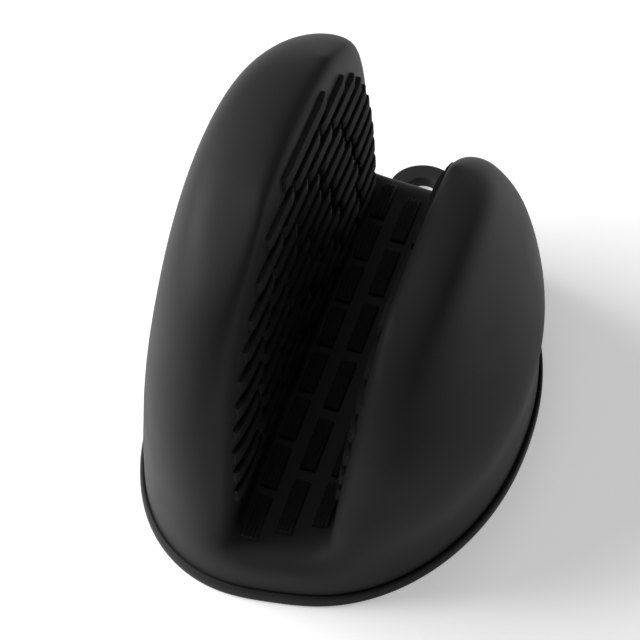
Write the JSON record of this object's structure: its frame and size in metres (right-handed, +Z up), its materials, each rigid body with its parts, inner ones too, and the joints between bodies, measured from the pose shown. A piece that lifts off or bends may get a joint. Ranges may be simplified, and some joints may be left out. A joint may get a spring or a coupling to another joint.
{
  "type": "oven mitt",
  "caption": "Moulded silicone pinch mitt with a tall finger pocket, a shorter thumb pocket, ribbed grip faces, a rim bead and a hang loop.",
  "frame": {"origin": "on the floor plane, at the middle of the whole mitt's box, hang loop included", "axes": "+Z up from the open rim to the pocket tips, +Y along the valley towards the hang loop, +X towards the thumb pocket"},
  "size_m": [0.0934, 0.1548, 0.0959],
  "materials": {
    "silicone": "matte moulded black silicone",
    "grip_silicone": "matte moulded black silicone, on the raised ribs and blocks"
  },
  "bodies": {
    "finger_side": {"finger_pocket": "silicone", "finger_cuff": "silicone", "finger_web": "silicone", "finger_rim_bead": "silicone", "finger_rib_row_01": "grip_silicone", "finger_rib_row_02": "grip_silicone", "finger_rib_row_03": "grip_silicone", "finger_rib_row_04": "grip_silicone", "finger_rib_row_05": "grip_silicone", "finger_rib_row_06": "grip_silicone", "finger_rib_row_07": "grip_silicone", "finger_rib_row_08": "grip_silicone", "finger_rib_row_09": "grip_silicone", "finger_rib_row_10": "grip_silicone", "finger_rib_row_11": "grip_silicone", "web_block_left_1": "grip_silicone", "web_block_left_2": "grip_silicone", "web_block_left_3": "grip_silicone", "web_block_left_4": "grip_silicone", "web_block_left_5": "grip_silicone", "web_block_left_6": "grip_silicone", "web_block_left_7": "grip_silicone", "web_block_left_8": "grip_silicone", "web_block_middle_1": "grip_silicone", "web_block_middle_2": "grip_silicone", "web_block_middle_3": "grip_silicone", "web_block_middle_4": "grip_silicone", "web_block_middle_5": "grip_silicone", "web_block_middle_6": "grip_silicone"},
    "thumb_side": {"thumb_pocket": "silicone", "thumb_cuff": "silicone", "thumb_web": "silicone", "thumb_rim_bead": "silicone", "thumb_rib_row_01": "grip_silicone", "thumb_rib_row_02": "grip_silicone", "thumb_rib_row_03": "grip_silicone", "thumb_rib_row_04": "grip_silicone", "thumb_rib_row_05": "grip_silicone", "thumb_rib_row_06": "grip_silicone", "thumb_rib_row_07": "grip_silicone", "web_block_right_1": "grip_silicone", "web_block_right_2": "grip_silicone", "web_block_right_3": "grip_silicone", "web_block_right_4": "grip_silicone", "web_block_right_5": "grip_silicone", "web_block_right_6": "grip_silicone", "web_block_right_7": "grip_silicone"},
    "hang_loop": {"hang_loop": "silicone"}
  },
  "joints": [
    {"name": "pinch", "type": "hinge", "parent": "finger_side", "child": "thumb_side", "pos_m": [0.00461, -0.01014, 0.02076], "axis": [0, 1, 0], "range_deg": [-31, 6], "stiffness_Nm_per_rad": 0.5},
    {"name": "loop_flex", "type": "hinge", "parent": "finger_side", "child": "hang_loop", "pos_m": [-0.00309, 0.05976, 0.0016], "axis": [1, 0, 0], "range_deg": [-30, 45], "stiffness_Nm_per_rad": 0.02}
  ]
}
